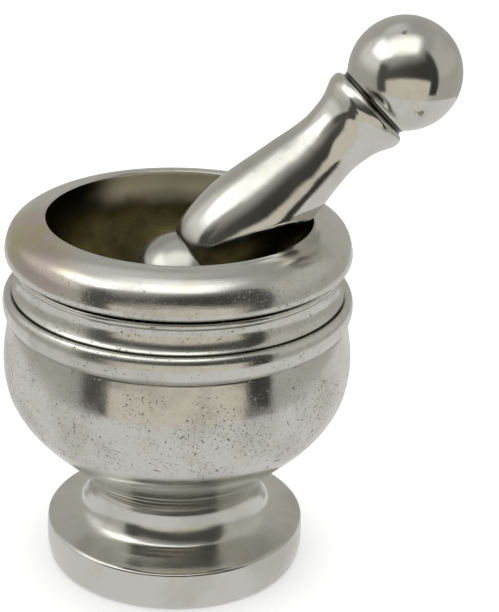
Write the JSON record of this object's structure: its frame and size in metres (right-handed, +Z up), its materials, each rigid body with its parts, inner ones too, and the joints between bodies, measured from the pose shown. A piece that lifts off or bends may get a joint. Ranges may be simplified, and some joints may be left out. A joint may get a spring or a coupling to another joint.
{
  "type": "mortar and pestle",
  "caption": "Footed mortar with a rolled rim, cove neck and round bowl, and a ball-ended pestle resting in it, in polished nickel-plated brass.",
  "frame": {"origin": "centre of the flat base, on the mortar's turning axis, at the height of the surface it stands on", "axes": "+Z up along the mortar's turning axis, +X towards the side the pestle's knob leans out over, +Y away from the viewer"},
  "size_m": [0.131, 0.1028, 0.1669],
  "materials": {
    "mortar_metal": "aged nickel plate over cast brass, polished outside, bare brass inside",
    "pestle_metal": "aged nickel plate over cast brass, polished"
  },
  "bodies": {
    "mortar": {"mortar": "mortar_metal"},
    "pestle": {"pestle": "pestle_metal"}
  },
  "joints": [
    {"name": "pestle_lift", "type": "slide", "parent": "mortar", "child": "pestle", "axis": [0, 0, 1], "range_m": [0, 0.08]}
  ]
}
